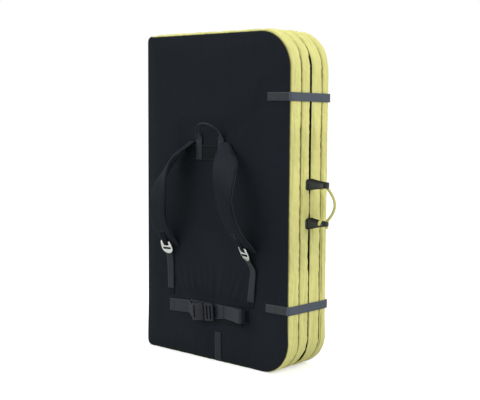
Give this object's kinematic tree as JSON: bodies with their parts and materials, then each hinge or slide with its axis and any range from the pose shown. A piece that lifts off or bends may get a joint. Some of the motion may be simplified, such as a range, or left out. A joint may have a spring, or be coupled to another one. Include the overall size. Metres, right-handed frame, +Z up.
{
  "type": "bouldering crash pad",
  "caption": "Folding foam crash pad for bouldering, closed and standing on end, with padded shoulder straps, a waist belt, a haul loop, rope handles and webbing closures.",
  "frame": {"origin": "on the floor, under the middle of the front half's inner wall band", "axes": "+Z up along the pad's height; +X from the fold to the opening side; -Y is the side that carries the shoulder harness"},
  "size_m": [0.6673, 0.2917, 1],
  "materials": {
    "black_fabric": "matt coated woven nylon",
    "landing_fabric": "matt coated woven nylon",
    "lime_fabric": "matt coated woven nylon, lime",
    "strap_fabric": "padded woven nylon",
    "panel_webbing": "flat woven webbing, dark grey",
    "closure_webbing": "flat woven webbing, blue grey",
    "handle_webbing": "flat woven webbing, black",
    "handle_rope": "braided cord cover, lime",
    "soft_foam": "open-cell foam",
    "firm_foam": "closed-cell foam",
    "hook_metal": "satin",
    "buckle_plastic": "fine grained, black"
  },
  "bodies": {
    "front_half": {"front_base_panel": "black_fabric", "front_landing_panel": "landing_fabric", "front_outer_wall": "lime_fabric", "front_inner_wall": "lime_fabric", "front_spine_wall": "black_fabric", "front_soft_foam": "soft_foam", "front_firm_foam": "firm_foam", "front_hinge_leaf": "black_fabric", "closure_patch_upper": "panel_webbing", "closure_patch_lower": "panel_webbing", "yoke_patch": "panel_webbing", "haul_loop_left_foot": "panel_webbing", "haul_loop_right_foot": "panel_webbing", "left_lower_anchor": "handle_webbing", "right_lower_anchor": "handle_webbing", "belt_backing": "black_fabric", "belt_left_webbing": "panel_webbing", "belt_right_webbing": "panel_webbing", "belt_right_anchor": "handle_webbing", "belt_buckle_housing": "buckle_plastic", "bottom_tab": "panel_webbing"},
    "rear_half": {"rear_base_panel": "black_fabric", "rear_landing_panel": "landing_fabric", "rear_outer_wall": "lime_fabric", "rear_inner_wall": "lime_fabric", "rear_spine_wall": "black_fabric", "rear_soft_foam": "soft_foam", "rear_firm_foam": "firm_foam", "rear_hinge_leaf": "black_fabric", "closure_end_upper": "closure_webbing", "closure_anchor_upper": "panel_webbing", "closure_end_lower": "closure_webbing", "closure_anchor_lower": "panel_webbing"},
    "closure_strap_upper": {"closure_strap_upper": "closure_webbing"},
    "closure_hook_upper": {"closure_hook_upper": "hook_metal"},
    "closure_strap_lower": {"closure_strap_lower": "closure_webbing"},
    "closure_hook_lower": {"closure_hook_lower": "hook_metal"},
    "front_handle": {"front_handle_upper_tab": "handle_webbing", "front_handle_lower_tab": "handle_webbing", "front_handle_rope": "handle_rope"},
    "rear_handle": {"rear_handle_upper_tab": "handle_webbing", "rear_handle_lower_tab": "handle_webbing", "rear_handle_rope": "handle_rope"},
    "haul_loop": {"haul_loop": "panel_webbing"},
    "left_strap": {"left_shoulder_strap": "strap_fabric", "left_strap_hanger": "panel_webbing"},
    "left_lower": {"left_lower_webbing": "panel_webbing", "left_hook_buckle": "hook_metal"},
    "right_strap": {"right_shoulder_strap": "strap_fabric", "right_strap_hanger": "panel_webbing"},
    "right_lower": {"right_lower_webbing": "panel_webbing", "right_hook_buckle": "hook_metal"},
    "belt_frame": {"belt_buckle_frame": "buckle_plastic"},
    "upper_prong": {"belt_upper_prong": "buckle_plastic"},
    "lower_prong": {"belt_lower_prong": "buckle_plastic"}
  },
  "joints": [
    {"name": "pad_fold", "type": "hinge", "parent": "front_half", "child": "rear_half", "pos_m": [-0.296, 0.0228, 0.5], "axis": [0, 0, 1], "range_deg": [0, 180]},
    {"name": "upper_closure_swing", "type": "hinge", "parent": "front_half", "child": "closure_strap_upper", "pos_m": [0.2966, -0.07035, 0.808], "axis": [0, 0, -1], "range_deg": [0, 100]},
    {"name": "upper_closure_hook_tilt", "type": "hinge", "parent": "rear_half", "child": "closure_hook_upper", "pos_m": [0.2446, 0.11635, 0.808], "axis": [0, 0, -1], "range_deg": [0, 80]},
    {"name": "lower_closure_swing", "type": "hinge", "parent": "front_half", "child": "closure_strap_lower", "pos_m": [0.2966, -0.07035, 0.195], "axis": [0, 0, -1], "range_deg": [0, 100]},
    {"name": "lower_closure_hook_tilt", "type": "hinge", "parent": "rear_half", "child": "closure_hook_lower", "pos_m": [0.2446, 0.11635, 0.195], "axis": [0, 0, -1], "range_deg": [0, 80]},
    {"name": "front_handle_swing", "type": "hinge", "parent": "front_half", "child": "front_handle", "pos_m": [0.29629, 0.0103, 0.498], "axis": [0, 0, -1], "range_deg": [0, 70]},
    {"name": "rear_handle_swing", "type": "hinge", "parent": "rear_half", "child": "rear_handle", "pos_m": [0.29515, 0.0313, 0.498], "axis": [0, 0, 1], "range_deg": [0, 60]},
    {"name": "haul_loop_swing", "type": "hinge", "parent": "front_half", "child": "haul_loop", "pos_m": [-0.009, -0.0809, 0.68], "axis": [1, 0, 0], "range_deg": [0, 60]},
    {"name": "left_strap_swing", "type": "hinge", "parent": "front_half", "child": "left_strap", "pos_m": [-0.085, -0.07778, 0.672], "axis": [-1, 0, 0], "range_deg": [0, 45]},
    {"name": "left_lower_swing", "type": "hinge", "parent": "front_half", "child": "left_lower", "pos_m": [-0.177, -0.07815, 0.204], "axis": [1, 0, 0], "range_deg": [0, 99.5]},
    {"name": "right_strap_swing", "type": "hinge", "parent": "front_half", "child": "right_strap", "pos_m": [0.053, -0.08198, 0.672], "axis": [-1, 0, 0], "range_deg": [0, 45]},
    {"name": "right_lower_swing", "type": "hinge", "parent": "front_half", "child": "right_lower", "pos_m": [0.156, -0.07822, 0.204], "axis": [1, 0, 0], "range_deg": [0, 99.5]},
    {"name": "belt_frame_slide", "type": "slide", "parent": "front_half", "child": "belt_frame", "axis": [0.9962, 0, 0.0872], "range_m": [0, 0.045]},
    {"name": "upper_prong_flex", "type": "hinge", "parent": "belt_frame", "child": "upper_prong", "pos_m": [-0.02445, -0.0874, 0.17005], "axis": [0, -1, 0], "range_deg": [0, 5], "stiffness_Nm_per_rad": 0.3},
    {"name": "lower_prong_flex", "type": "hinge", "parent": "belt_frame", "child": "lower_prong", "pos_m": [-0.02114, -0.0874, 0.13219], "axis": [0, 1, 0], "range_deg": [0, 5], "stiffness_Nm_per_rad": 0.3}
  ],
  "couplings": [
    {"joint": "left_lower_swing", "follows": "left_strap_swing", "ratio": 2.2},
    {"joint": "right_lower_swing", "follows": "right_strap_swing", "ratio": 2.2}
  ]
}
